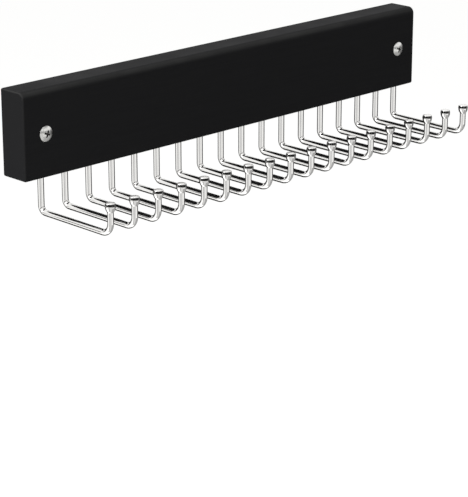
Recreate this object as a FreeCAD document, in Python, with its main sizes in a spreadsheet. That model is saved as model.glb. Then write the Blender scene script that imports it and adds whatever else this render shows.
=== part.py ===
"""Tie hanger: a lacquered wall board, a row of chromed wire hooks and two wall screws.

Millimetres, +Z up. The origin is the middle of the board's back face, which lies on the
wall in the plane Y = 0. +X runs along the board to the right and -Y points into the room.
"""

import FreeCAD
import Part
import Sketcher
import math
import os

# Driving dimensions in millimetres, the number of hooks, and the screws' turns in degrees
SIZES = {
    "board_height": 62,
    "board_thickness": 24,
    "board_end_margin": 17.25,
    "board_top_round": 5,
    "board_edge_round": 1.5,
    "board_end_round": 1.4,
    "hook_count": 18,
    "hook_pitch": 21.5,
    "hook_setback": 5,
    "hook_leg_drop": 25,
    "hook_run": 72,
    "hook_upright": 22.5,
    "hook_back_bend": 4.5,
    "hook_front_bend": 8,
    "wire_diameter": 4.5,
    "socket_clearance": 0.05,
    "tip_diameter": 7.6,
    "tip_flare": 3.4,
    "tip_rim": 1.2,
    "tip_crown": 0.8,
    "screw_end_margin": 19,
    "screw_above_sockets": 8,
    "screw_head_diameter": 11,
    "screw_head_rim": 0.5,
    "screw_head_crown": 1.8,
    "screw_shank_diameter": 3.8,
    "screw_thread_diameter": 5,
    "screw_thread_length": 11,
    "screw_point_length": 5,
    "screw_hole_clearance": 0.3,
    "recess_width": 5.6,
    "recess_wing": 1.3,
    "recess_depth": 1.8,
    "left_screw_turn": 20,
    "right_screw_turn": 20,
}

# Lengths that follow from the driving dimensions, as expressions on the sheet
HOOK_ROW = "(Sizes.hook_count - 1) * Sizes.hook_pitch"
BOARD_LENGTH = f"{HOOK_ROW} + 2 * Sizes.board_end_margin"
SOCKET_DEPTH = "Sizes.board_height / 2 - Sizes.screw_above_sockets"
SOCKET_PLACE = "Sizes.board_thickness - Sizes.hook_setback"
TIP_HEIGHT = "Sizes.tip_flare + Sizes.tip_rim + Sizes.tip_crown"
WIRE_RISE = f"Sizes.hook_upright - ({TIP_HEIGHT})"
HEAD_HEIGHT = "Sizes.screw_head_rim + Sizes.screw_head_crown"
SCREW_PLACE = f"({BOARD_LENGTH}) / 2 - Sizes.screw_end_margin"

# How a sketch numbers its axes, its origin and the points of a line or arc
H_AXIS, V_AXIS = range(-1, -3, -1)
START, END, CENTRE = range(1, 4)
ORIGIN = (H_AXIS, START)

# An edge that strays less than this from a plane lies in it
FLAT_TOLERANCE = 0.0001

# Degrees from a cross recess's first slot to its second
QUARTER_TURN = 90

UP = FreeCAD.Vector(0, 0, 1)
TO_WALL = FreeCAD.Vector(0, 1, 0)

doc = FreeCAD.newDocument("TieHanger")
sheet = doc.addObject("Spreadsheet::Sheet", "Sizes")
for row, (alias, number) in enumerate(SIZES.items(), start=1):
    sheet.set(f"A{row}", alias)
    sheet.set(f"B{row}", str(number))
    sheet.setAlias(f"B{row}", alias)
doc.recompute()


def size(expression):
    """The present value of an expression on the sheet."""
    return float(sheet.evalExpression(expression))


def point(across, along):
    """A point of a sketch."""
    return FreeCAD.Vector(across, along, 0)


def new_body(label):
    """An empty body whose label names the piece."""
    body = doc.addObject("PartDesign::Body", f"Body_{label}")
    body.Label = label
    return body


def sketch_on(body, role, name, **offsets):
    """A sketch on one of the body's own origin planes, moved off it by expressions."""
    sketch = body.newObject("Sketcher::SketchObject", name)
    plane = next(feature for feature in body.Origin.OriginFeatures if feature.Role == role)
    sketch.AttachmentSupport = [(plane, "")]
    sketch.MapMode = "FlatFace"
    for direction, expression in offsets.items():
        sketch.setExpression(f"AttachmentOffset.Base.{direction}", expression)
    return sketch


def fix(sketch, kind, *references):
    """Adds a constraint that has no size."""
    sketch.addConstraint(Sketcher.Constraint(kind, *references))


def measure(sketch, name, expression, kind, *references):
    """Adds a constraint whose size follows an expression on the sheet."""
    index = sketch.addConstraint(Sketcher.Constraint(kind, *references, size(expression)))
    sketch.renameConstraint(index, name)
    sketch.setExpression(f"Constraints.{name}", expression)


def line(sketch, start, end):
    """A straight line."""
    return sketch.addGeometry(Part.LineSegment(start, end), False)


def circle(sketch, centre, radius):
    """A whole circle."""
    return sketch.addGeometry(Part.Circle(centre, UP, radius), False)


def arc(sketch, centre, start, end):
    """An arc about a centre, running against the clock from start to end."""
    first, last = (math.atan2(p.y - centre.y, p.x - centre.x) for p in (start, end))
    whole = Part.Circle(centre, UP, start.distanceToPoint(centre))
    span = (last - first) % math.tau
    return sketch.addGeometry(Part.ArcOfCircle(whole, first, first + span), False)


def join(sketch, kind, *ends):
    """Joins neighbouring ends, given in pairs of a curve and one of its points."""
    for first, second in zip(ends[::2], ends[1::2]):
        fix(sketch, kind, *first, *second)


def rectangle(sketch, low, high):
    """A closed square outline whose first and third lines are level."""
    corners = [low, point(high.x, low.y), high, point(low.x, high.y)]
    lines = [line(sketch, *pair) for pair in zip(corners, corners[1:] + corners[:1])]
    for index, (first, second) in enumerate(zip(lines, lines[1:] + lines[:1])):
        fix(sketch, "Coincident", first, END, second, START)
        fix(sketch, "Vertical" if index % 2 else "Horizontal", first)
    return lines


def feature_of(body, kind, name, profile, **bindings):
    """A feature on a sketch, with properties bound to expressions on the sheet."""
    feature = body.newObject(f"PartDesign::{kind}", name)
    feature.Profile = profile
    for name_of_property, expression in bindings.items():
        feature.setExpression(name_of_property, expression)
    return feature


def edge_names(shape, wanted):
    """The names of the edges that a test picks."""
    return [f"Edge{index}" for index, edge in enumerate(shape.Edges, start=1) if wanted(edge)]


def round_edges(body, name, base, wanted, radius):
    """Rounds the edges of the base feature that a test picks."""
    doc.recompute()
    fillet = body.newObject("PartDesign::Fillet", name)
    fillet.Base = (base, edge_names(base.Shape, wanted))
    fillet.setExpression("Radius", radius)
    return fillet


def runs_along_board(edge):
    """Whether an edge is one of the board's long ones."""
    return edge.BoundBox.YLength + edge.BoundBox.ZLength < FLAT_TOLERANCE


def is_top_front(edge):
    """Whether an edge is the long one at the top of the board's front face."""
    middle = edge.CenterOfMass
    return runs_along_board(edge) and middle.z > 0 and middle.y < -size("Sizes.board_thickness") / 2


def is_other_long(edge):
    """Whether an edge is one of the board's other three long ones."""
    return runs_along_board(edge) and not is_top_front(edge)


def is_end_rim(edge):
    """Whether an edge lies in one of the board's two end faces."""
    return edge.BoundBox.XLength < FLAT_TOLERANCE


def cut_sockets(body):
    """Drills the row of blind holes for the hooks up into the board's underside."""
    mouths = sketch_on(body, "XY_Plane", "SocketMouth", z="-Sizes.board_height / 2")
    radius = "Sizes.wire_diameter / 2 + Sizes.socket_clearance"
    centre = point(-size(HOOK_ROW) / 2, -size(SOCKET_PLACE))
    mouth = circle(mouths, centre, size(radius))
    measure(mouths, "socket_radius", radius, "Radius", mouth)
    measure(mouths, "first_socket", f"({HOOK_ROW}) / 2", "DistanceX", mouth, CENTRE, *ORIGIN)
    measure(mouths, "socket_place", SOCKET_PLACE, "DistanceY", mouth, CENTRE, *ORIGIN)
    socket = feature_of(body, "Pocket", "Socket", mouths, Length=SOCKET_DEPTH)
    socket.Reversed = True
    sockets = body.newObject("PartDesign::LinearPattern", "SocketRow")
    sockets.Originals = [socket]
    sockets.Direction = (mouths, ["H_Axis"])
    sockets.setExpression("Length", HOOK_ROW)
    sockets.setExpression("Occurrences", "Sizes.hook_count")
    body.Tip = sockets


def cut_screw_holes(body):
    """Drills the two clearance holes for the wall screws through the board."""
    holes = sketch_on(body, "XZ_Plane", "ScrewHoles")
    radius = "Sizes.screw_thread_diameter / 2 + Sizes.screw_hole_clearance"
    left = circle(holes, point(-size(SCREW_PLACE), 0), size(radius))
    right = circle(holes, point(size(SCREW_PLACE), 0), size(radius))
    measure(holes, "hole_radius", radius, "Radius", left)
    measure(holes, "hole_place", SCREW_PLACE, "DistanceX", left, CENTRE, *ORIGIN)
    fix(holes, "Equal", left, right)
    fix(holes, "PointOnObject", left, CENTRE, H_AXIS)
    fix(holes, "Symmetric", left, CENTRE, right, CENTRE, *ORIGIN)
    drilled = feature_of(body, "Pocket", "ScrewHole", holes)
    drilled.Type = "ThroughAll"
    drilled.Reversed = True


def make_board():
    """The wall board: a rounded bar with a row of sockets below and two screw holes."""
    body = new_body("board")
    section = sketch_on(body, "YZ_Plane", "BoardSection")
    half = size("Sizes.board_height") / 2
    lines = rectangle(section, point(-size("Sizes.board_thickness"), -half), point(0, half))
    fix(section, "PointOnObject", lines[1], START, V_AXIS)
    measure(section, "below_middle", "Sizes.board_height / 2", "DistanceY", lines[1], START, *ORIGIN)
    measure(section, "thickness", "Sizes.board_thickness", "DistanceX", lines[0], START, lines[0], END)
    measure(section, "height", "Sizes.board_height", "DistanceY", lines[1], START, lines[1], END)
    bar = feature_of(body, "Pad", "Bar", section, Length=BOARD_LENGTH)
    bar.SideType = "Symmetric"
    softened = round_edges(body, "LongRounds", bar, is_other_long, "Sizes.board_edge_round")
    rolled = round_edges(body, "TopRound", softened, is_top_front, "Sizes.board_top_round")
    round_edges(body, "EndRounds", rolled, is_end_rim, "Sizes.board_end_round")
    doc.recompute()
    cut_screw_holes(body)
    cut_sockets(body)
    return body


def draw_wire_path(body):
    """The wire's centre line: down the leg, forward along the run and up to the tip."""
    path = sketch_on(body, "YZ_Plane", "WirePath")
    back = size("Sizes.hook_back_bend")
    turn_up = size("Sizes.hook_front_bend")
    low = -size("Sizes.hook_leg_drop")
    front = -size("Sizes.hook_run")
    top = low + size(WIRE_RISE)
    leg = line(path, point(0, size(SOCKET_DEPTH)), point(0, low + back))
    back_centre = point(-back, low + back)
    back_bend = arc(path, back_centre, point(-back, low), point(0, low + back))
    run = line(path, point(-back, low), point(front + turn_up, low))
    front_centre = point(front + turn_up, low + turn_up)
    front_bend = arc(path, front_centre, point(front, low + turn_up), point(front + turn_up, low))
    upright = line(path, point(front, low + turn_up), point(front, top))
    join(path, "Tangent", (leg, END), (back_bend, END), (back_bend, START), (run, START))
    join(path, "Tangent", (run, END), (front_bend, END), (front_bend, START), (upright, START))
    fix(path, "Vertical", leg)
    fix(path, "Horizontal", run)
    fix(path, "Vertical", upright)
    fix(path, "PointOnObject", leg, START, V_AXIS)
    measure(path, "back_bend", "Sizes.hook_back_bend", "Radius", back_bend)
    measure(path, "front_bend", "Sizes.hook_front_bend", "Radius", front_bend)
    measure(path, "shank", SOCKET_DEPTH, "DistanceY", *ORIGIN, leg, START)
    measure(path, "leg_drop", "Sizes.hook_leg_drop", "DistanceY", run, START, *ORIGIN)
    measure(path, "run_length", "Sizes.hook_run", "DistanceX", upright, END, *ORIGIN)
    measure(path, "wire_rise", WIRE_RISE, "DistanceY", run, END, upright, END)
    return path


def draw_tip(body):
    """Half the section of the headed tip: a rounded flare, a short rim and a low crown."""
    base = f"{WIRE_RISE} - Sizes.hook_leg_drop"
    tip = sketch_on(body, "YZ_Plane", "TipSection", x="-Sizes.hook_run", y=base)
    wire = size("Sizes.wire_diameter") / 2
    edge = size("Sizes.tip_diameter") / 2
    flare = size("Sizes.tip_flare")
    rim_top = flare + size("Sizes.tip_rim")
    top = size(TIP_HEIGHT)
    flare_radius = ((edge - wire) ** 2 + flare ** 2) / (2 * (edge - wire))
    crown_radius = (edge ** 2 + (top - rim_top) ** 2) / (2 * (top - rim_top))
    floor = line(tip, point(0, 0), point(wire, 0))
    cup = arc(tip, point(edge - flare_radius, flare), point(wire, 0), point(edge, flare))
    rim = line(tip, point(edge, flare), point(edge, rim_top))
    crown = arc(tip, point(0, top - crown_radius), point(edge, rim_top), point(0, top))
    axis = line(tip, point(0, top), point(0, 0))
    fix(tip, "Coincident", floor, END, cup, START)
    fix(tip, "Tangent", cup, END, rim, START)
    join(tip, "Coincident", (rim, END), (crown, START), (crown, END), (axis, START))
    fix(tip, "Coincident", axis, END, floor, START)
    fix(tip, "Coincident", floor, START, *ORIGIN)
    fix(tip, "Horizontal", floor)
    fix(tip, "Vertical", rim)
    fix(tip, "Vertical", axis)
    fix(tip, "PointOnObject", crown, CENTRE, V_AXIS)
    measure(tip, "wire_radius", "Sizes.wire_diameter / 2", "DistanceX", floor, START, floor, END)
    measure(tip, "tip_radius", "Sizes.tip_diameter / 2", "DistanceX", *ORIGIN, rim, START)
    measure(tip, "flare", "Sizes.tip_flare", "DistanceY", *ORIGIN, rim, START)
    measure(tip, "rim", "Sizes.tip_rim", "DistanceY", rim, START, rim, END)
    measure(tip, "crown", "Sizes.tip_crown", "DistanceY", rim, END, axis, START)
    return tip


def make_hook(number):
    """One wire hook: a round wire bent twice, with its free end headed like a nail."""
    body = new_body(f"hook_{number:02d}")
    path = draw_wire_path(body)
    section = sketch_on(body, "XY_Plane", "WireSection", z=SOCKET_DEPTH)
    ring = circle(section, point(0, 0), size("Sizes.wire_diameter / 2"))
    fix(section, "Coincident", ring, CENTRE, *ORIGIN)
    measure(section, "wire_radius", "Sizes.wire_diameter / 2", "Radius", ring)
    wire = feature_of(body, "AdditivePipe", "Wire", section)
    wire.Spine = path
    tip_section = draw_tip(body)
    tip = feature_of(body, "Revolution", "Tip", tip_section)
    tip.ReferenceAxis = (tip_section, ["V_Axis"])
    place = f"({number} - 1) * Sizes.hook_pitch - ({HOOK_ROW}) / 2"
    body.setExpression("Placement.Base.x", place)
    body.setExpression("Placement.Base.y", f"-({SOCKET_PLACE})")
    body.setExpression("Placement.Base.z", "-Sizes.board_height / 2")
    return body


def draw_screw(body):
    """Half the section of a wall screw: a domed head, a plain shank, the thread's envelope, a point."""
    screw = sketch_on(body, "YZ_Plane", "ScrewSection")
    head = size("Sizes.screw_head_diameter") / 2
    rim = -size("Sizes.screw_head_rim")
    top = -size(HEAD_HEIGHT)
    shank = size("Sizes.screw_shank_diameter") / 2
    thread = size("Sizes.screw_thread_diameter") / 2
    wall = size("Sizes.board_thickness")
    thread_end = wall + size("Sizes.screw_thread_length")
    point_end = thread_end + size("Sizes.screw_point_length")
    crown_radius = (head ** 2 + (rim - top) ** 2) / (2 * (rim - top))
    dome = arc(screw, point(top + crown_radius, 0), point(rim, head), point(top, 0))
    corners = [
        point(rim, head),
        point(0, head),
        point(0, shank),
        point(wall, shank),
        point(wall, thread),
        point(thread_end, thread),
        point(point_end, 0),
        point(top, 0),
    ]
    lines = [line(screw, *pair) for pair in zip(corners, corners[1:])]
    side, seat, neck, shoulder, threaded, tip, axis = lines
    fix(screw, "Coincident", dome, START, side, START)
    for first, second in zip(lines, lines[1:]):
        fix(screw, "Coincident", first, END, second, START)
    fix(screw, "Coincident", axis, END, dome, END)
    for level in (side, neck, threaded):
        fix(screw, "Horizontal", level)
    for upright in (seat, shoulder):
        fix(screw, "Vertical", upright)
    fix(screw, "PointOnObject", dome, CENTRE, H_AXIS)
    fix(screw, "PointOnObject", dome, END, H_AXIS)
    fix(screw, "PointOnObject", tip, END, H_AXIS)
    fix(screw, "PointOnObject", seat, START, V_AXIS)
    measure(screw, "head_radius", "Sizes.screw_head_diameter / 2", "DistanceY", *ORIGIN, side, END)
    measure(screw, "head_rim", "Sizes.screw_head_rim", "DistanceX", side, START, side, END)
    measure(screw, "head_crown", "Sizes.screw_head_crown", "DistanceX", dome, END, side, START)
    measure(screw, "shank_radius", "Sizes.screw_shank_diameter / 2", "DistanceY", *ORIGIN, neck, END)
    measure(screw, "shank_length", "Sizes.board_thickness", "DistanceX", *ORIGIN, neck, END)
    measure(screw, "thread_radius", "Sizes.screw_thread_diameter / 2", "DistanceY", *ORIGIN, threaded, END)
    measure(screw, "thread_length", "Sizes.screw_thread_length", "DistanceX", threaded, START, threaded, END)
    measure(screw, "point_length", "Sizes.screw_point_length", "DistanceX", tip, START, tip, END)
    return screw


def cut_recess(body):
    """Cuts a cross recess into the screw's head: one slot, then the same slot turned square to it."""
    slot_sketch = sketch_on(body, "XZ_Plane", "RecessSlot", z=HEAD_HEIGHT)
    half_width = size("Sizes.recess_width") / 2
    half_wing = size("Sizes.recess_wing") / 2
    lines = rectangle(slot_sketch, point(-half_width, -half_wing), point(half_width, half_wing))
    fix(slot_sketch, "Symmetric", lines[0], START, lines[2], START, *ORIGIN)
    measure(slot_sketch, "width", "Sizes.recess_width", "DistanceX", lines[0], START, lines[0], END)
    measure(slot_sketch, "wing", "Sizes.recess_wing", "DistanceY", lines[1], START, lines[1], END)
    slot = feature_of(body, "Pocket", "Slot", slot_sketch, Length="Sizes.recess_depth")
    cross = body.newObject("PartDesign::PolarPattern", "Cross")
    cross.Originals = [slot]
    cross.Axis = (slot_sketch, ["N_Axis"])
    cross.Angle = QUARTER_TURN
    cross.Occurrences = 2
    body.Tip = cross


def make_screw(side, direction):
    """One wall screw, its head on the board's front face and its thread out of the back."""
    body = new_body(f"{side}_screw")
    section = draw_screw(body)
    turned = feature_of(body, "Revolution", "Turned", section)
    turned.ReferenceAxis = (section, ["H_Axis"])
    doc.recompute()
    cut_recess(body)
    turn = f"Sizes.{side}_screw_turn"
    body.Placement.Rotation = FreeCAD.Rotation(TO_WALL, size(turn))
    body.setExpression("Placement.Base.x", f"{direction} * ({SCREW_PLACE})")
    body.setExpression("Placement.Base.y", "-Sizes.board_thickness")
    body.setExpression("Placement.Rotation.Angle", turn)
    return body


pieces = [make_board()]
pieces += [make_hook(number) for number in range(1, round(size("Sizes.hook_count")) + 1)]
pieces += [make_screw("left", -1), make_screw("right", 1)]
doc.recompute()

failed = [thing.Name for thing in doc.Objects if {"Invalid", "Error"} & set(thing.State)]
if failed:
    raise RuntimeError(f"these objects failed: {failed}")
for piece in pieces:
    if piece.Shape.isNull() or not piece.Shape.isValid() or len(piece.Shape.Solids) != 1:
        raise RuntimeError(f"{piece.Label} is not one valid solid")

os.makedirs("parts", exist_ok=True)
for piece in pieces:
    piece.Shape.exportStep(f"parts/{piece.Label}.step")
    print(piece.Label, round(piece.Shape.Volume, 1), piece.Shape.BoundBox)
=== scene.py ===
# %% [markdown]
# A tie hanger in black lacquer and chrome
#
# This lesson dresses a CAD model of a wall rack: a black wooden board, eighteen bright wire hooks in
# its underside and two domed screws through its face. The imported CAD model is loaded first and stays
# where it is. New surfaces then stand in for the pieces whose CAD mesh is too plain to look real.
#
# Everything is in metres, with the wall in the plane Y = 0, +X to the right and +Z up.

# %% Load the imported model
import bpy
import numpy as np
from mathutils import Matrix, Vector


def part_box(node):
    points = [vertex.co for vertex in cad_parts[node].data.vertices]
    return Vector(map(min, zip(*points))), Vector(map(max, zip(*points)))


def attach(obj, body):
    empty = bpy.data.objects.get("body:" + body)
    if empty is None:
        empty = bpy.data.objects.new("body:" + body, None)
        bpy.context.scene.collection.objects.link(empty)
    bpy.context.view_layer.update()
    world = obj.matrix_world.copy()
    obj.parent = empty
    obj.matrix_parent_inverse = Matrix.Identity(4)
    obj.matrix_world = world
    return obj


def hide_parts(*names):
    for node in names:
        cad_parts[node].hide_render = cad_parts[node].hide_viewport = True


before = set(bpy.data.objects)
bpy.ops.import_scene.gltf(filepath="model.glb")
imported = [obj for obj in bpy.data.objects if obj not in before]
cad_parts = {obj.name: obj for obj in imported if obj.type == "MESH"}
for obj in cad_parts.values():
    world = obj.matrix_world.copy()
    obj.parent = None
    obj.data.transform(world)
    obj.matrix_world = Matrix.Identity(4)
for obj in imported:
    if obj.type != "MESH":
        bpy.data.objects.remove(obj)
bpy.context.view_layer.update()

MM = 0.001
hook_names = sorted(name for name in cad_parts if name.startswith("hook_"))
print("loaded", len(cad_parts), "pieces, of which", len(hook_names), "are hooks")

# %% [markdown]
# The camera
#
# The view is from the left and a little above, with a long lens, so the board runs up to the right and
# its parallel edges hardly draw together. A lens can be set by eye, but here the angle, distance and
# focal length come from fitting the board's corners, so the board fills the frame as it should.

# %% Camera
IMAGE_SIZE = (468, 497)
FOCAL_PIXELS = 2047.7
AZIMUTH, ELEVATION = np.radians([-44.62, 18.57])
AIM = np.array([-1.88, -24.0, -124.35]) * MM
DISTANCE = 1546.2 * MM


def direction(azimuth, elevation):
    """Unit vectors from compass and height: azimuth 0 is in front of the board, 90 is past its right end.

    The level part has the length cos(elevation) and turns with the azimuth. The rise is sin(elevation).
    """
    level = np.cos(elevation)
    return np.stack([np.sin(azimuth) * level, -np.cos(azimuth) * level, np.sin(elevation)], axis=-1)


towards_camera = direction(AZIMUTH, ELEVATION)
camera = bpy.data.objects.new("camera", bpy.data.cameras.new("camera"))
camera.data.lens = FOCAL_PIXELS / max(IMAGE_SIZE) * camera.data.sensor_width
camera.location = AIM + towards_camera * DISTANCE
camera.rotation_euler = Vector(-towards_camera).to_track_quat("-Z", "Y").to_euler()
bpy.context.collection.objects.link(camera)
bpy.context.scene.camera = camera
bpy.context.scene.view_settings.view_transform = "Standard"
print("camera at", [round(v, 3) for v in camera.location], "m, lens", round(camera.data.lens, 1), "mm")

# %% [markdown]
# Small helpers for colour and nodes
#
# Colours are easiest to write as the hex codes of a paint program, but shaders work with linear light,
# so one function turns a code into linear numbers. A second one adds a shader node, sets its own
# properties and fills its sockets, with plain values or with links from earlier nodes.


# %% Colour and node helpers
def linear(code):
    """A hex colour as linear light: c / 12.92 up to 0.04045, and ((c + 0.055) / 1.055) ** 2.4 above it."""
    c = np.array([int(code[i:i + 2], 16) for i in (1, 3, 5)]) / 255
    light = np.where(c <= 0.04045, c / 12.92, ((c + 0.055) / 1.055) ** 2.4)
    return (*light.tolist(), 1.0)


def add(tree, kind, sockets=None, **properties):
    """Adds a shader node. sockets maps an input's name or number to a value, or to an output to link."""
    node = tree.nodes.new("ShaderNode" + kind)
    for name, value in properties.items():
        setattr(node, name, value)
    for key, value in (sockets or {}).items():
        if isinstance(value, bpy.types.NodeSocket):
            tree.links.new(value, node.inputs[key])
        else:
            node.inputs[key].default_value = value
    return node


def empty_material(name):
    """A new material whose node tree is still empty."""
    material = bpy.data.materials.new(name)
    material.use_nodes = True
    material.node_tree.nodes.clear()
    return material


print("hex #1B1B1B is", round(linear("#1B1B1B")[0], 4), "in linear light")

# %% [markdown]
# A skin from rings of points
#
# A hook and a screw are both made of rings: round sections that follow one another along a line. If
# each ring has the same number of points, they form a grid, and the faces of the skin are the grid's
# cells. One point at each end closes it. Whole arrays of numbers go into the mesh at once, and each
# point also keeps a place on the piece as it was before bending, which the finishes read later.


# %% Skin helper
def grid_cells(index):
    """The four-sided cells of a grid of point numbers: (i, j), (i, j + 1), (i + 1, j + 1), (i + 1, j)."""
    corners = [index[:-1, :-1], index[:-1, 1:], index[1:, 1:], index[1:, :-1]]
    return np.stack(corners, axis=-1).reshape(-1, 4)


def skin(name, rings, poles, places, numbers):
    """A closed mesh from an array of rings (ring, point, xyz) and one pole before and one after them.

    The first column of the grid is repeated after the last, so its cells go right round. A fan of
    triangles joins each pole to its nearest ring. places gives each point's place on the straight piece,
    and numbers holds named values, one for each point.
    """
    count, around = rings.shape[:2]
    points = np.concatenate([poles[:1], rings.reshape(-1, 3), poles[1:]])
    index = np.arange(count * around).reshape(count, around) + 1
    index = np.concatenate([index, index[:, :1]], axis=1)
    first_fan = np.stack([np.zeros(around, int), index[0, 1:], index[0, :-1]], axis=-1)
    last_fan = np.stack([np.full(around, len(points) - 1), index[-1, :-1], index[-1, 1:]], axis=-1)
    faces = grid_cells(index).tolist() + first_fan.tolist() + last_fan.tolist()
    mesh = bpy.data.meshes.new(name)
    mesh.from_pydata(points.tolist(), [], faces)
    mesh.shade_smooth()
    mesh.attributes.new("place", "FLOAT_VECTOR", "POINT").data.foreach_set("vector", places.ravel())
    for label, values in numbers.items():
        mesh.attributes.new(label, "FLOAT", "POINT").data.foreach_set("value", values.ravel())
    piece = bpy.data.objects.new(name, mesh)
    bpy.context.collection.objects.link(piece)
    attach(piece, "root")
    return piece


def volume(piece):
    """The sum over a closed mesh's triangles of a . (b x c) / 6, which is above zero if faces point out."""
    mesh = piece.data
    mesh.calc_loop_triangles()
    corners = np.empty(len(mesh.loop_triangles) * 3, int)
    mesh.loop_triangles.foreach_get("vertices", corners)
    points = np.empty(len(mesh.vertices) * 3)
    mesh.vertices.foreach_get("co", points)
    a, b, c = points.reshape(-1, 3)[corners.reshape(-1, 3)].transpose(1, 0, 2)
    return float(np.einsum("ij,ij->", a, np.cross(b, c)) / 6)


print("a grid of 3 by 4 points has", len(grid_cells(np.arange(12).reshape(3, 4))), "cells")

# %% [markdown]
# The wire hooks: the bent centre line
#
# Each hook is one piece of steel wire. A machine cuts it, upsets one end into a nail-like head, bends it
# twice and sends it to be plated. A Blender curve with a round bevel would give the wire, but not the
# head, so the centre line is worked out as a formula of the distance walked along it. Its place comes
# from the box of the CAD hook, apart from the head's top, because the shank in the board reaches higher.

# %% Hook centre line
WIRE_RADIUS = 2.25 * MM
HEAD_RADIUS = 3.8 * MM
BACK_BEND = 4.5 * MM
FRONT_BEND = 8.0 * MM
HEAD_TOP = -33.5 * MM

hook_low, hook_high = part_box(hook_names[0])
SHANK_TOP = hook_high[2]
RUN_LEVEL = hook_low[2] + WIRE_RADIUS
LEG_PLACE = hook_high[1] - WIRE_RADIUS
RUN_LENGTH = LEG_PLACE - (hook_low[1] + HEAD_RADIUS)

LEG_END = SHANK_TOP - RUN_LEVEL - BACK_BEND
RUN_START = LEG_END + np.pi / 2 * BACK_BEND
RUN_END = RUN_START + RUN_LENGTH - BACK_BEND - FRONT_BEND
UPRIGHT_START = RUN_END + np.pi / 2 * FRONT_BEND
WIRE_END = UPRIGHT_START + HEAD_TOP - RUN_LEVEL - FRONT_BEND


def centre_line(walked):
    """Points (y, z) of the centre line and its turn, from 0 on the leg to half a turn on the upright.

    The leg goes straight down, a quarter circle of the back bend turns it forward, the run is level,
    and a quarter circle of the front bend turns it up. Each stretch adds its share of the distance walked.
    """
    first = np.clip((walked - LEG_END) / BACK_BEND, 0, np.pi / 2)
    second = np.clip((walked - RUN_END) / FRONT_BEND, 0, np.pi / 2)
    level = np.clip(walked - RUN_START, 0, RUN_END - RUN_START)
    forward = BACK_BEND * (1 - np.cos(first)) + level + FRONT_BEND * np.sin(second)
    down = np.minimum(walked, LEG_END) + BACK_BEND * np.sin(first)
    up = FRONT_BEND * (1 - np.cos(second)) + np.maximum(walked - UPRIGHT_START, 0)
    return LEG_PLACE - forward, SHANK_TOP - down + up, first + second


print("one hook takes", round(WIRE_END / MM, 1), "mm of wire, head included")

# %% [markdown]
# The wire hooks: the head's profile
#
# The head is pressed out of the wire's own end: a rounded cup, a small step out to a rim that leans in
# a little, and a low crown. A lathe-like profile describes it, as pairs of distance and radius, from
# a lead-in on the plain wire to the crown's middle. On the real hook no edge of it is sharp, since the die
# and the plating round each one, so the profile is averaged over a quarter of a millimetre.

# %% Head profile
CUP_LENGTH = 4.2 * MM
CUP_EDGE = 3.65 * MM
RIM_SEAT = 0.05 * MM
RIM_LENGTH = 2.1 * MM
CROWN_EDGE = 3.35 * MM
CROWN_HEIGHT = 0.6 * MM
LEAD_IN = CUP_LENGTH / 3
ARC_POINTS = 100

crown_base = WIRE_END - CROWN_HEIGHT
cup_top = crown_base - RIM_LENGTH
cup_base = cup_top - CUP_LENGTH
cup_radius = ((CUP_EDGE - WIRE_RADIUS) ** 2 + CUP_LENGTH ** 2) / (2 * (CUP_EDGE - WIRE_RADIUS))
cup_turn = np.linspace(np.arcsin(CUP_LENGTH / cup_radius), 0, ARC_POINTS)
crown_radius = (CROWN_EDGE ** 2 + CROWN_HEIGHT ** 2) / (2 * CROWN_HEIGHT)
crown_out = np.linspace(CROWN_EDGE, 0, ARC_POINTS)
sharp = np.concatenate([
    [[cup_base - LEAD_IN, WIRE_RADIUS]],
    np.stack([cup_top - cup_radius * np.sin(cup_turn), CUP_EDGE - cup_radius * (1 - np.cos(cup_turn))], 1),
    [[cup_top + RIM_SEAT, HEAD_RADIUS]],
    np.stack([WIRE_END - crown_radius + np.sqrt(crown_radius ** 2 - crown_out ** 2), crown_out], 1),
])

HEAD_STEP, HEAD_EASING = 0.1 * MM, 0.25 * MM
AVERAGED_POINTS = 31


def eased(profile, step, width):
    """A profile resampled at even steps along its length, each point the mean over a width about it."""
    lengths = np.concatenate([[0], np.cumsum(np.hypot(*np.diff(profile, axis=0).T))])
    even = np.linspace(0, lengths[-1], round(lengths[-1] / step) + 1)
    near = even[:, None] + np.linspace(-width / 2, width / 2, AVERAGED_POINTS)
    return np.stack([np.interp(near, lengths, column).mean(axis=1) for column in profile.T], 1)


head_profile = eased(sharp, HEAD_STEP, HEAD_EASING)
widest = head_profile[:, 1].max() / MM
print("the head's profile has", len(head_profile), "points, widest radius", round(widest, 3), "mm")

# %% [markdown]
# The wire hooks: where the rings go
#
# Rings are now set square to the centre line: close together in the bends and in the head, and far apart
# on the straight stretches. Even steps would be simpler, but would spend most points where nothing bends.
# The shank's hidden end has a small chamfer, as cut wire does once its burr is taken off.

# %% Rings along one hook
LEG_RINGS, BACK_BEND_RINGS, RUN_RINGS, FRONT_BEND_RINGS, UPRIGHT_RINGS = 14, 21, 20, 31, 6
SHANK_CHAMFER = 0.4 * MM

plain_wire = np.concatenate([
    np.linspace(SHANK_CHAMFER, LEG_END, LEG_RINGS),
    np.linspace(LEG_END, RUN_START, BACK_BEND_RINGS)[1:],
    np.linspace(RUN_START, RUN_END, RUN_RINGS)[1:],
    np.linspace(RUN_END, UPRIGHT_START, FRONT_BEND_RINGS)[1:],
    np.linspace(UPRIGHT_START, head_profile[0, 0], UPRIGHT_RINGS)[1:-1],
])
stations = np.concatenate([
    [[0.0, WIRE_RADIUS - SHANK_CHAMFER]],
    np.stack([plain_wire, np.full(len(plain_wire), WIRE_RADIUS)], axis=1),
    head_profile[:-1],
])
print("a hook has", len(stations), "rings,", len(head_profile) - 1, "of them in its head")

# %% [markdown]
# The wire hooks: eighteen skins
#
# Round wire gives a little when it is bent, thinner across the bend and wider to the sides, and that small
# change moves the reflections in the way that real bends do. Copies of one hook would show the same marks
# eighteen times, so each hook reads its finish from another stretch of one long wire.

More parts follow.
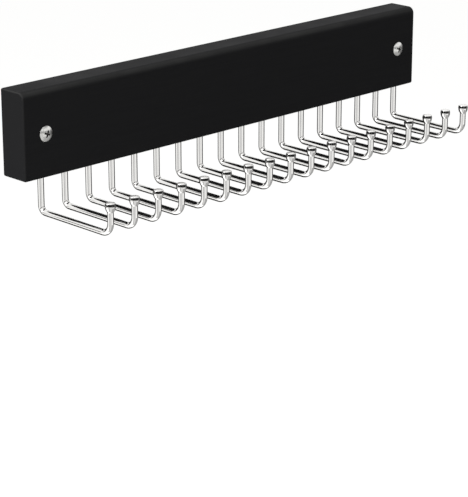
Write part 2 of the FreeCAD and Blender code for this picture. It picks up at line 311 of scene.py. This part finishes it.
# %% Hooks
POINTS_ROUND = 48
FLATTENING = 0.035
CROWN_FADE = 0.2 * MM


def wire_hook(name, x, batch_place):
    """Ring j, angle t: the centre line's point plus radius times (cos t across the bend + sin t sideways).

    Across the bend the radius shrinks, and sideways it grows by half as much, as the sine of twice the
    turn, which is zero on the straights and one in the middle of each bend. The number crown goes from
    zero to one where the rim turns into the crown.
    """
    walked, radius = stations.T
    y, z, turn = centre_line(walked)
    squeeze = FLATTENING * np.abs(np.sin(2 * turn))
    angle = np.linspace(0, 2 * np.pi, POINTS_ROUND, endpoint=False)
    across = (radius * (1 - squeeze))[:, None] * np.cos(angle)
    sideways = (radius * (1 + squeeze / 2))[:, None] * np.sin(angle)
    rings = np.stack([
        x + sideways,
        y[:, None] - across * np.cos(turn)[:, None],
        z[:, None] + across * np.sin(turn)[:, None],
    ], axis=-1)
    ends_y, ends_z, _ = centre_line(np.array([0.0, WIRE_END]))
    poles = np.stack([np.full(2, x), ends_y, ends_z], axis=-1)
    straight = np.stack(np.broadcast_arrays(across, sideways, batch_place + walked[:, None]), axis=-1)
    axis_ends = np.array([[0, 0, batch_place], [0, 0, batch_place + WIRE_END]])
    places = np.concatenate([axis_ends[:1], straight.reshape(-1, 3), axis_ends[1:]])
    crowned = np.clip((walked - crown_base) / CROWN_FADE + 0.5, 0, 1)
    crown = np.concatenate([[0], np.repeat(crowned, POINTS_ROUND), [1]])
    return skin(name, rings, poles, places, {"crown": crown})


hooks = []
for number, name in enumerate(hook_names):
    low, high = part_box(name)
    hook = wire_hook("wire_" + name, (low[0] + high[0]) / 2, number * WIRE_END)
    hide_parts(name)
    hooks.append(hook)
one_volume = volume(hooks[0]) / MM ** 3
print(len(hooks), "hooks of", len(hooks[0].data.polygons), "faces, each", round(one_volume, 1), "mm3")

# %% [markdown]
# The wall screws: sizes and the cross recess
#
# The board is held by two domed wood screws. A driver needs the cross recess, and a picture of a cross
# would look flat from the side, so it is real geometry. Its outline is a function of the angle: the end
# of a wing near each axis, and the wing's straight side elsewhere. Angles are set closer at the corners.

# %% Screw sizes and the cross outline
SCREW_HEAD_RADIUS = 5.5 * MM
SCREW_HEAD_RIM = 0.5 * MM
SCREW_HEAD_CROWN = 1.8 * MM
SHANK_RADIUS = 1.9 * MM
RECESS_REACH = 2.8 * MM
RECESS_HALF_WING = 0.65 * MM
RECESS_DEPTH = 1.8 * MM
WING_END_POINTS, WING_SIDE_POINTS = 4, 9

BOARD_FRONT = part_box("board")[0][1]
dome_top = BOARD_FRONT - SCREW_HEAD_RIM - SCREW_HEAD_CROWN
dome_radius = (SCREW_HEAD_RADIUS ** 2 + SCREW_HEAD_CROWN ** 2) / (2 * SCREW_HEAD_CROWN)
recess_floor = dome_top + RECESS_DEPTH


def dome(radius):
    """How far along Y the domed head lies at a distance from its axis: a sphere's cap."""
    return dome_top + dome_radius - np.sqrt(dome_radius ** 2 - radius ** 2)


corner_angle = np.arctan(RECESS_HALF_WING / RECESS_REACH)
eighth = np.concatenate([
    np.linspace(0, corner_angle, WING_END_POINTS)[:-1],
    np.linspace(corner_angle, np.pi / 4, WING_SIDE_POINTS),
])
quarter = np.concatenate([eighth, np.pi / 2 - eighth[-2:0:-1]])
screw_angle = (quarter + np.arange(4)[:, None] * np.pi / 2).ravel()
folded = np.abs((screw_angle + np.pi / 4) % (np.pi / 2) - np.pi / 4)

# A tiny angle stands in for zero, which can't divide
TINY = 1e-6
cross = np.minimum(RECESS_REACH / np.cos(folded), RECESS_HALF_WING / np.maximum(np.sin(folded), TINY))
reach = cross.max() / MM
print("the screw's rings have", len(screw_angle), "points, and the recess reaches", round(reach, 2), "mm")

# %% [markdown]
# The wall screws: recess and head as rings
#
# A screw could be put together from a dome, a cylinder and a coiled ridge, but the seams between them
# would show. One stack of rings has no seams: it starts on the recess floor, climbs the recess wall,
# widens over the dome, turns under the rim and runs along the shank to the point. Each stretch is a small
# function that gives the rings' radius and their place along Y.

# %% Recess and head rings
RECESS_TAPER = 0.6
FLOOR_SHARES = (0.2, 0.4, RECESS_TAPER)
FLOOR_DISH = 0.35 * MM
LIP_SHARE, LIP_DROP = 0.97, 0.08 * MM
WALL_RINGS = 8
DOME_POINTS = 60
SHANK_STOP, NECK_LENGTH = -0.4 * MM, 1.0 * MM
SCREW_STEP, SCREW_EASING = 0.12 * MM, 0.3 * MM

# A little outside the recess, the rings are circles
ROUND_FROM = RECESS_REACH * 1.15


def recess_rings():
    """The recess: the cross outline times a growing share, on a dished floor and then up a sloping wall.

    The floor rises with the square of the share. The wall rises in even steps to a lip just under the dome.
    """
    share = np.array(FLOOR_SHARES)[:, None]
    floor_y = recess_floor - (share / RECESS_TAPER) ** 2 * FLOOR_DISH + np.zeros_like(cross)
    rise = np.linspace(0, 1, WALL_RINGS)[1:, None]
    wall_r = (RECESS_TAPER + (LIP_SHARE - RECESS_TAPER) * rise) * cross
    wall_y = floor_y[-1] + (dome(cross) + LIP_DROP - floor_y[-1]) * rise
    return np.concatenate([share * cross, wall_r]), np.concatenate([floor_y, wall_y])


def turned_rings():
    """What a lathe could turn, with eased edges: the dome outside the recess, the rim, seat and shank.

    On the long plain shank only its first stretch and its end keep their rings.
    """
    out = np.linspace(ROUND_FROM, SCREW_HEAD_RADIUS, DOME_POINTS)
    sharp_head = np.concatenate([
        np.stack([out, dome(out)], 1),
        [[SCREW_HEAD_RADIUS, BOARD_FRONT], [SHANK_RADIUS, BOARD_FRONT], [SHANK_RADIUS, SHANK_STOP]],
    ])
    soft = eased(sharp_head, SCREW_STEP, SCREW_EASING)
    keep = np.append(np.flatnonzero(soft[:, 1] < BOARD_FRONT + NECK_LENGTH), len(soft) - 1)
    return soft[keep].T


print("the recess has", len(recess_rings()[0]), "rings, and the head and shank", len(turned_rings()[0]))

# %% [markdown]
# The wall screws: the thread
#
# The thread that bites into the wall is rolled as one helix. A helix is a ridge that moves along the axis
# as the angle grows, so the radius only has to depend on the place along Y minus the angle's share of
# a turn. Blender's Screw modifier could make one too, but not joined to the shank without a seam.

# %% Thread rings
THREAD_RADIUS = 2.5 * MM
THREAD_CORE = 1.7 * MM
THREAD_PITCH = 2.2 * MM
THREAD_START, THREAD_END, POINT_END = 0.5 * MM, 11.0 * MM, 16.0 * MM
POINT_CORE, POINT_RADIUS = 0.05 * MM, 0.1 * MM
RIDGE_SHARE = 0.22
THREAD_STEP = 0.14 * MM


def thread_rings():
    """The thread's radius: core + (envelope - core) * ridge, with both drawn in to the point.

    The ridge is a triangle wave of y / pitch minus the angle's share of a turn, faded in over one pitch.
    """
    y = np.arange(0, POINT_END, THREAD_STEP)
    core_places = [0, THREAD_START, THREAD_END, POINT_END]
    core = np.interp(y, core_places, [SHANK_RADIUS, THREAD_CORE, THREAD_CORE, POINT_CORE])
    envelope = np.interp(y, [THREAD_END, POINT_END], [THREAD_RADIUS, POINT_RADIUS])
    fade = np.clip(y / THREAD_PITCH, 0, 1)[:, None]
    phase = (y[:, None] / THREAD_PITCH - screw_angle / (2 * np.pi)) % 1
    ridge = np.clip(1 - np.abs(phase - 0.5) / RIDGE_SHARE, 0, 1) * fade
    return core[:, None] + (envelope - core)[:, None] * ridge, y


print("the thread has", len(thread_rings()[1]), "rings and", round(THREAD_END / THREAD_PITCH, 1), "turns")

# %% [markdown]
# The wall screws: two skins
#
# All the rings now go into one skin for each screw. A few rings on the dome change from the cross to
# a circle, because the recess and the turned part have different outlines. The skin also notes which points
# are inside the recess, for the finish to read. Both screws stop at the same turn of the driver.

# %% Screws
BLEND_FROM, BLEND_TO, BLEND_RINGS = 0.02, 0.9, 9
SCREW_TURN = 20


def wall_screw(name, x, turn):
    """The screw as rings of radius r(angle) at y(angle), all about one axis and turned by some degrees.

    Between the recess and the turned part, the radius on the dome is the cross outline plus a growing
    share of its distance to a circle. The number recess is one inside the recess and zero elsewhere.
    """
    one = np.ones_like(cross)
    recess_r, recess_y = recess_rings()
    dome_r = cross + (ROUND_FROM - cross) * np.linspace(BLEND_FROM, BLEND_TO, BLEND_RINGS)[:, None]
    turned_r, turned_y = turned_rings()
    thread_r, thread_y = thread_rings()
    radius = np.concatenate([recess_r, dome_r, turned_r[:, None] * one, thread_r])
    depth = np.concatenate([recess_y, dome(dome_r), turned_y[:, None] * one, thread_y[:, None] * one])
    angle = screw_angle - np.radians(turn)
    rings = np.stack([x + radius * np.cos(angle), depth, radius * np.sin(angle)], axis=-1)
    poles = np.array([[x, recess_floor, 0], [x, POINT_END, 0]])
    places = np.concatenate([poles[:1], rings.reshape(-1, 3), poles[1:]]) - [x, BOARD_FRONT, 0]
    inside = np.zeros(radius.shape)
    inside[:len(recess_r) - 1] = 1
    recess = np.concatenate([[1], inside.ravel(), [0]])
    return skin(name, rings, poles, places, {"recess": recess})


screws = []
for name in ("left_screw", "right_screw"):
    low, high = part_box(name)
    screw = wall_screw("domed_" + name, (low[0] + high[0]) / 2, SCREW_TURN)
    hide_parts(name)
    screws.append(screw)
    print(screw.name, len(screw.data.polygons), "faces,", round(volume(screw) / MM ** 3, 1), "mm3")

# %% [markdown]
# The board's finish: patterns in the lacquer
#
# The board keeps its CAD mesh, which already has the rounded edges, the sockets and the screw holes. The
# real one is sanded wood, sprayed with a black lacquer that holds a matting powder. Three things tell the
# eye so: long shallow grain lines that the lacquer doesn't fill, the fine ripple of a sprayed coat, and
# lighter edges, partly a painted highlight on the rounding and partly coat rubbed thin. A painted image
# could show them, but noise on Object coordinates needs no unwrapping, and its sizes can be given in
# millimetres.

# %% Black lacquer: patterns
lacquer = empty_material("black_lacquer_sprayed_on_sanded_wood")
tree = lacquer.node_tree
on_board = add(tree, "TexCoord").outputs

# Grain lines run along the board: 45 mm long and 0.9 mm across, about twice life size so that they show
GRAIN_LONG, GRAIN_WIDE = 45 * MM, 0.9 * MM
along_grain = add(tree, "Mapping", {
    "Vector": on_board["Object"],
    "Scale": (1 / GRAIN_LONG, 1 / GRAIN_WIDE, 1 / GRAIN_WIDE),
})
grain = add(tree, "TexNoise", {
    "Vector": along_grain.outputs[0], "Scale": 1.0, "Detail": 3.0, "Roughness": 0.6,
})

# Orange peel is the ripple of a sprayed coat, from crest to crest
PEEL_SIZE = 1.6 * MM
peel = add(tree, "TexNoise", {"Vector": on_board["Object"], "Scale": 1 / PEEL_SIZE, "Detail": 1.0})

# Hands and dusters leave cloudy patches of more and less gloss
CLOUD_SIZE = 35 * MM
clouds = add(tree, "TexNoise", {"Vector": on_board["Object"], "Scale": 1 / CLOUD_SIZE, "Detail": 2.0})
print(len(tree.nodes), "nodes draw the lacquer's patterns")

# %% [markdown]
# The board's finish: painted edge highlight and wear
#
# On a rounded edge the normal points between two axes, so the largest of its three parts drops below one
# there. That finds every edge without painting a mask. The edges are painted lighter, partly as a painted
# highlight where light falls on the rounding and partly as coat rubbed thin. The light falls from above, so
# the upper edges get the most, the upright ones less and the lower ones hardly any, and the mask is weighed
# by how far the normal points up. The cloudy patches break it up.

# %% Black lacquer: painted edge highlight and wear
# The edge mask paints the rounded edges lighter: partly a painted highlight where light falls on the
# rounding, partly coat rubbed thin
EDGE_START, EDGE_FULL, EDGE_SHEEN_AND_WEAR = 0.998, 0.85, 0.58
LIGHT_FROM_ABOVE = 0.35
facing = add(tree, "VectorMath", {0: on_board["Normal"]}, operation="ABSOLUTE")
axes = add(tree, "SeparateXYZ", {0: facing.outputs[0]})
larger = add(tree, "Math", {0: axes.outputs[0], 1: axes.outputs[1]}, operation="MAXIMUM")
largest = add(tree, "Math", {0: larger.outputs[0], 1: axes.outputs[2]}, operation="MAXIMUM")
edge = add(tree, "MapRange", {
    "Value": largest.outputs[0], "From Min": EDGE_START, "From Max": EDGE_FULL, "To Max": EDGE_SHEEN_AND_WEAR,
})
upward = add(tree, "SeparateXYZ", {0: on_board["Normal"]})
# Upper edges get the most painted highlight, since the light falls from above
lit_from_above = add(tree, "Math", {0: upward.outputs[2], 1: LIGHT_FROM_ABOVE}, operation="ADD", use_clamp=True)
upper_edge_sheen = add(tree, "Math", {0: edge.outputs[0], 1: lit_from_above.outputs[0]}, operation="MULTIPLY")
edge_sheen_and_wear = add(tree, "Math", {0: upper_edge_sheen.outputs[0], 1: clouds.outputs["Fac"]}, operation="MULTIPLY")
print("the edge mask starts where a normal leans", round(np.degrees(np.arccos(EDGE_START)), 1), "degrees")

# %% [markdown]
# The board's finish: satin black
#
# Matting powder scatters the light, so the eye gets a deep black with only a veil of shine. A rough base
# with a strong shine would turn grey at grazing angles. Here the base hardly shines, and a thin coat with
# a small weight gives the veil. Grain and ripple go into the shader as bump, far too shallow for geometry.

# %% Black lacquer: shader
BLACK_DARK, BLACK_LIGHT, BLACK_EDGE_SHEEN_AND_WEAR = linear("#19191A"), linear("#1F1F20"), linear("#434342")
streaks = add(tree, "Mix", {0: grain.outputs["Fac"], 6: BLACK_DARK, 7: BLACK_LIGHT}, data_type="RGBA")
# The rounded edges are mixed towards a lighter grey: painted highlight, with some rubbed wear
colour = add(tree, "Mix", {0: edge_sheen_and_wear.outputs[0], 6: streaks.outputs[2], 7: BLACK_EDGE_SHEEN_AND_WEAR}, data_type="RGBA")
gloss = add(tree, "MapRange", {
    "Value": clouds.outputs["Fac"], "From Min": 0.3, "From Max": 0.7, "To Min": 0.46, "To Max": 0.58,
})
grooves = add(tree, "Bump", {"Height": grain.outputs["Fac"], "Strength": 0.25, "Distance": 0.06 * MM})
ripple = add(tree, "Bump", {
    "Height": peel.outputs["Fac"], "Strength": 0.2, "Distance": 0.05 * MM, "Normal": grooves.outputs[0],
})
coat = add(tree, "BsdfPrincipled", {
    "Base Color": colour.outputs[2],
    "Roughness": gloss.outputs[0],
    "Specular IOR Level": 0.01,
    "Normal": ripple.outputs[0],
    "Coat Weight": 0.043,
    "Coat Roughness": 0.36,
    "Coat Normal": ripple.outputs[0],
})
add(tree, "OutputMaterial", {"Surface": coat.outputs[0]})

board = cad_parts["board"]
board.data.materials[0] = lacquer
print("board finished in", lacquer.name, "with", len(tree.nodes), "nodes")

# %% [markdown]
# The hooks' finish: chrome plate on drawn wire
#
# Bright chrome gives the eye hard-edged bands of light and dark, since it mirrors the room. Steel wire is
# drawn through a die, which leaves faint lines along it that the plate doesn't quite hide. The lines have
# to follow the wire round its bends, so the pattern reads the place that each point had on the straight
# wire. Object coordinates would cut straight through the bends. The blow that upsets the head leaves its
# crown satin, so the crown is rougher than the rest.
#
# Eighteen mirrors in a row would also mirror each other, in specks finer than a pixel. A photographer's
# retoucher would clean them away, and here the hooks are hidden from reflections instead.

# %% Chrome plate
chrome = empty_material("bright_chrome_plate_on_drawn_steel_wire")
tree = chrome.node_tree
straight_wire = add(tree, "Attribute", attribute_name="place").outputs["Vector"]
on_crown = add(tree, "Attribute", attribute_name="crown").outputs["Fac"]

# Drawing lines are finer than a hair. Here they are 0.4 mm across and 80 mm long, so that they show
LINE_LONG, LINE_WIDE = 80 * MM, 0.4 * MM
drawn = add(tree, "Mapping", {
    "Vector": straight_wire,
    "Scale": (1 / LINE_WIDE, 1 / LINE_WIDE, 1 / LINE_LONG),
})
lines = add(tree, "TexNoise", {"Vector": drawn.outputs[0], "Scale": 1.0, "Detail": 2.0})

# Handling leaves a thin haze in patches
HAZE_SIZE = 9 * MM
haze = add(tree, "TexNoise", {"Vector": straight_wire, "Scale": 1 / HAZE_SIZE, "Detail": 2.0})

CHROME_CLEAN, CHROME_HAZY = linear("#F8F7F5"), linear("#EDECEA")
CROWN_DULLING = 0.34
tone = add(tree, "Mix", {0: haze.outputs["Fac"], 6: CHROME_CLEAN, 7: CHROME_HAZY}, data_type="RGBA")
dulled = add(tree, "MapRange", {
    "Value": haze.outputs["Fac"], "From Min": 0.35, "From Max": 0.75, "To Min": 0.06, "To Max": 0.11,
})
struck = add(tree, "Math", {0: on_crown, 1: CROWN_DULLING, 2: dulled.outputs[0]}, operation="MULTIPLY_ADD")
scored = add(tree, "Bump", {"Height": lines.outputs["Fac"], "Strength": 0.015, "Distance": 0.02 * MM})
plate = add(tree, "BsdfPrincipled", {
    "Base Color": tone.outputs[2],
    "Metallic": 1.0,
    "Roughness": struck.outputs[0],
    "Normal": scored.outputs[0],
})
add(tree, "OutputMaterial", {"Surface": plate.outputs[0]})
for hook in hooks:
    hook.data.materials.append(chrome)
    hook.visible_glossy = False
print(len(hooks), "hooks finished in", chrome.name)

# %% [markdown]
# The screws' finish: barrel-plated steel
#
# The screws are plated too, but in a barrel, where they knock against each other. That gives the eye
# a softer, greyer shine than the hooks, with many tiny dents. Faint rings stay from heading the blank, and
# the inside of the recess is painted dark, as painted shade. A number on each point says where the recess
# is, which is exact and needs no mask.

# %% Plated screw steel
plated = empty_material("barrel_plated_bright_steel")
tree = plated.node_tree
on_screw = add(tree, "Attribute", attribute_name="place").outputs["Vector"]
in_recess = add(tree, "Attribute", attribute_name="recess").outputs["Fac"]

# Knocks from the barrel are about 0.7 mm across, and rings from heading the blank are 0.5 mm apart
KNOCK_SIZE, RING_SPACING = 0.7 * MM, 0.5 * MM
knocks = add(tree, "TexNoise", {"Vector": on_screw, "Scale": 1 / KNOCK_SIZE, "Detail": 2.0})
to_axis = add(tree, "Mapping", {"Vector": on_screw, "Scale": (1.0, 0.0, 1.0)})
from_axis = add(tree, "VectorMath", {0: to_axis.outputs[0]}, operation="LENGTH")
turns = add(tree, "Math", {
    0: from_axis.outputs["Value"], 1: 2 * np.pi / RING_SPACING,
}, operation="MULTIPLY")
rings_on_head = add(tree, "Math", {0: turns.outputs[0]}, operation="SINE")

STEEL_BRIGHT, STEEL_KNOCKED, STEEL_PAINTED_SHADE = linear("#F0EFEC"), linear("#DEDEDB"), linear("#4A4846")
bright = add(tree, "Mix", {0: knocks.outputs["Fac"], 6: STEEL_BRIGHT, 7: STEEL_KNOCKED}, data_type="RGBA")
# Inside the recess the colour is mixed to a dark grey: painted shade
shade = add(tree, "Mix", {0: in_recess, 6: bright.outputs[2], 7: STEEL_PAINTED_SHADE}, data_type="RGBA")
worn = add(tree, "MapRange", {
    "Value": knocks.outputs["Fac"], "From Min": 0.3, "From Max": 0.7, "To Min": 0.25, "To Max": 0.34,
})
ringed = add(tree, "Bump", {"Height": rings_on_head.outputs[0], "Strength": 0.08, "Distance": 0.01 * MM})
dented = add(tree, "Bump", {
    "Height": knocks.outputs["Fac"], "Strength": 0.12, "Distance": 0.03 * MM, "Normal": ringed.outputs[0],
})
steel = add(tree, "BsdfPrincipled", {
    "Base Color": shade.outputs[2],
    "Metallic": 1.0,
    "Roughness": worn.outputs[0],
    "Normal": dented.outputs[0],
})
add(tree, "OutputMaterial", {"Surface": steel.outputs[0]})
for screw in screws:
    screw.data.materials.append(plated)
print(len(screws), "screws finished in", plated.name)

# %% [markdown]
# The studio: sheets and rays
#
# The floor and the cards are open sheets, made from a grid of points like the skins. A second helper tells
# a shader which rays are seen, by the camera or in a mirror, and which ones only carry light.


# %% Studio helpers
def stage_sheet(name, points, material):
    """An open sheet from a grid of points (row, column, xyz), part of the studio and not of the rack."""
    index = np.arange(points[..., 0].size).reshape(points.shape[:2])
    mesh = bpy.data.meshes.new(name)
    mesh.from_pydata(points.reshape(-1, 3).tolist(), [], grid_cells(index).tolist())
    mesh.materials.append(material)
    sheet = bpy.data.objects.new(name, mesh)
    bpy.context.collection.objects.link(sheet)
    return sheet


def seen_rays(tree):
    """One where a ray comes from the camera, from a reflection or through glass, and zero elsewhere."""
    rays = add(tree, "LightPath").outputs
    seen = add(tree, "Math", {0: rays["Is Camera Ray"], 1: rays["Is Glossy Ray"]}, operation="MAXIMUM")
    seen = add(tree, "Math", {0: seen.outputs[0], 1: rays["Is Transmission Ray"]}, operation="MAXIMUM")
    return seen.outputs[0]


# %% [markdown]
# The studio: a pale floor and a white surround
#
# The rack hangs on a wall, so the floor lies well below it and only takes a soft shadow. Matt white paint
# gives the eye an even, pale ground that mirrors nothing. Floor and surround are plain white for the camera
# and for reflections, and less for the light that they give, so a colour renders about as it is written.
# More lamps would make the background white too, but they would bleach the rack with it.

# %% Floor and world
FLOOR_LEVEL = -1.2
FLOOR_REACH = 30.0
FLOOR_LIFT = 0.38
FILL = 0.7

paint = empty_material("matt_white_floor_paint")
tree = paint.node_tree
matt = add(tree, "BsdfDiffuse", {"Color": linear("#EDEDEC")})
lifted = add(tree, "Math", {0: seen_rays(tree), 1: FLOOR_LIFT}, operation="MULTIPLY")
lift = add(tree, "Emission", {"Color": linear("#FFFFFF"), "Strength": lifted.outputs[0]})
both = add(tree, "AddShader", {0: matt.outputs[0], 1: lift.outputs[0]})
add(tree, "OutputMaterial", {"Surface": both.outputs[0]})
across, along = np.meshgrid([-FLOOR_REACH, FLOOR_REACH], [-FLOOR_REACH, FLOOR_REACH])
stage_sheet("floor", np.stack([across, along, np.full((2, 2), FLOOR_LEVEL)], axis=-1), paint)

world = bpy.data.worlds.new("white_studio")
bpy.context.scene.world = world
world.use_nodes = True
tree = world.node_tree
tree.nodes.clear()
fill = add(tree, "Background", {"Color": linear("#FFFFFF"), "Strength": FILL})
white = add(tree, "Background", {"Color": linear("#FFFFFF"), "Strength": 1.0})
surround = add(tree, "MixShader", {0: seen_rays(tree), 1: fill.outputs[0], 2: white.outputs[0]})
add(tree, "OutputWorld", {"Surface": surround.outputs[0]})
print("floor at", FLOOR_LEVEL, "m, world fill", FILL)

# %% [markdown]
# The studio: cards for the chrome
#
# Chrome has no colour of its own: it shows the room. In an all-white room it would look like white
# plastic, so photographers stand dark and grey cards about a shiny object. Each card here is a patch of a
# sphere about the rack, given by its span of azimuth from the camera's side and its span of elevation.
# The sphere stays above the floor, which would otherwise hide its lowest cards.
#
# The dark wall is what the heads' rims mirror. It bows down at its sides, as the rims' reflections do, so
# each rim gets one dark band. The dark side and surround draw the edges of the wires and bends, and the
# grey and pale cards shade the wires' middles and the screws' domes. Only reflections see the cards, so
# they neither show in the picture nor take light from the board.

# %% Cards
CARD_DISTANCE = 1.15
CARD_COLUMNS, CARD_ROWS = 33, 9

# Each card has its azimuths, elevations and bow, in degrees, and its brightness
CARDS = {
    "dark_wall": ((-85, 85), (1, 15), 10, 0.02),
    "grey_stand": ((-35, -16), (-60, -7), 0, 0.4),
    "pale_floor_card": ((-16, 34), (-75, -7), 0, 0.74),
    "grey_floor_card": ((34, 140), (-75, -27), 0, 0.42),
    "dark_side": ((83, 140), (-27, 3), 0, 0.12),
    "grey_ceiling": ((30, 120), (32, 70), 0, 0.35),
    "dark_surround": ((140, 266), (-82, 3), 0, 0.03),
}
for name, (azimuths, elevations, bow, brightness) in CARDS.items():
    card_paint = empty_material(name + "_paint")
    glow = add(card_paint.node_tree, "Emission", {"Color": linear("#FFFFFF"), "Strength": brightness})
    add(card_paint.node_tree, "OutputMaterial", {"Surface": glow.outputs[0]})
    columns = np.radians(np.linspace(*azimuths, CARD_COLUMNS))
    rows = np.radians(np.linspace(*elevations, CARD_ROWS))
    around, up = np.meshgrid(columns, rows)
    up = up - np.radians(bow) * (1 - np.cos(around))
    card = stage_sheet(name, CARD_DISTANCE * direction(AZIMUTH + around, up), card_paint)
    card.visible_camera = False
    card.visible_diffuse = False
    card.visible_shadow = False
print(len(CARDS), "cards stand", CARD_DISTANCE, "m from the rack")

# %% [markdown]
# The studio: two softboxes
#
# The light is soft and comes mostly from the white surround. Two large lamps give it a direction: a weak
# one overhead, and a stronger one at the left and a little behind, which lifts the board's top and its
# end. A sun lamp would draw hard shadows, which a studio avoids.

# %% Lamps
# Each lamp has its place and its size, in metres, and its power in watts
SOFTBOXES = {
    "overhead_softbox": ((-0.4, 0.1, 1.6), 1.4, 6.0),
    "left_softbox": ((-1.9, 0.5, 0.9), 1.6, 46.0),
}
for name, (stand, size, watts) in SOFTBOXES.items():
    softbox = bpy.data.objects.new(name, bpy.data.lights.new(name, "AREA"))
    softbox.data.size = size
    softbox.data.energy = watts
    softbox.location = stand
    softbox.rotation_euler = Vector(stand).to_track_quat("Z", "Y").to_euler()
    bpy.context.collection.objects.link(softbox)
print(len(SOFTBOXES), "softboxes lit")
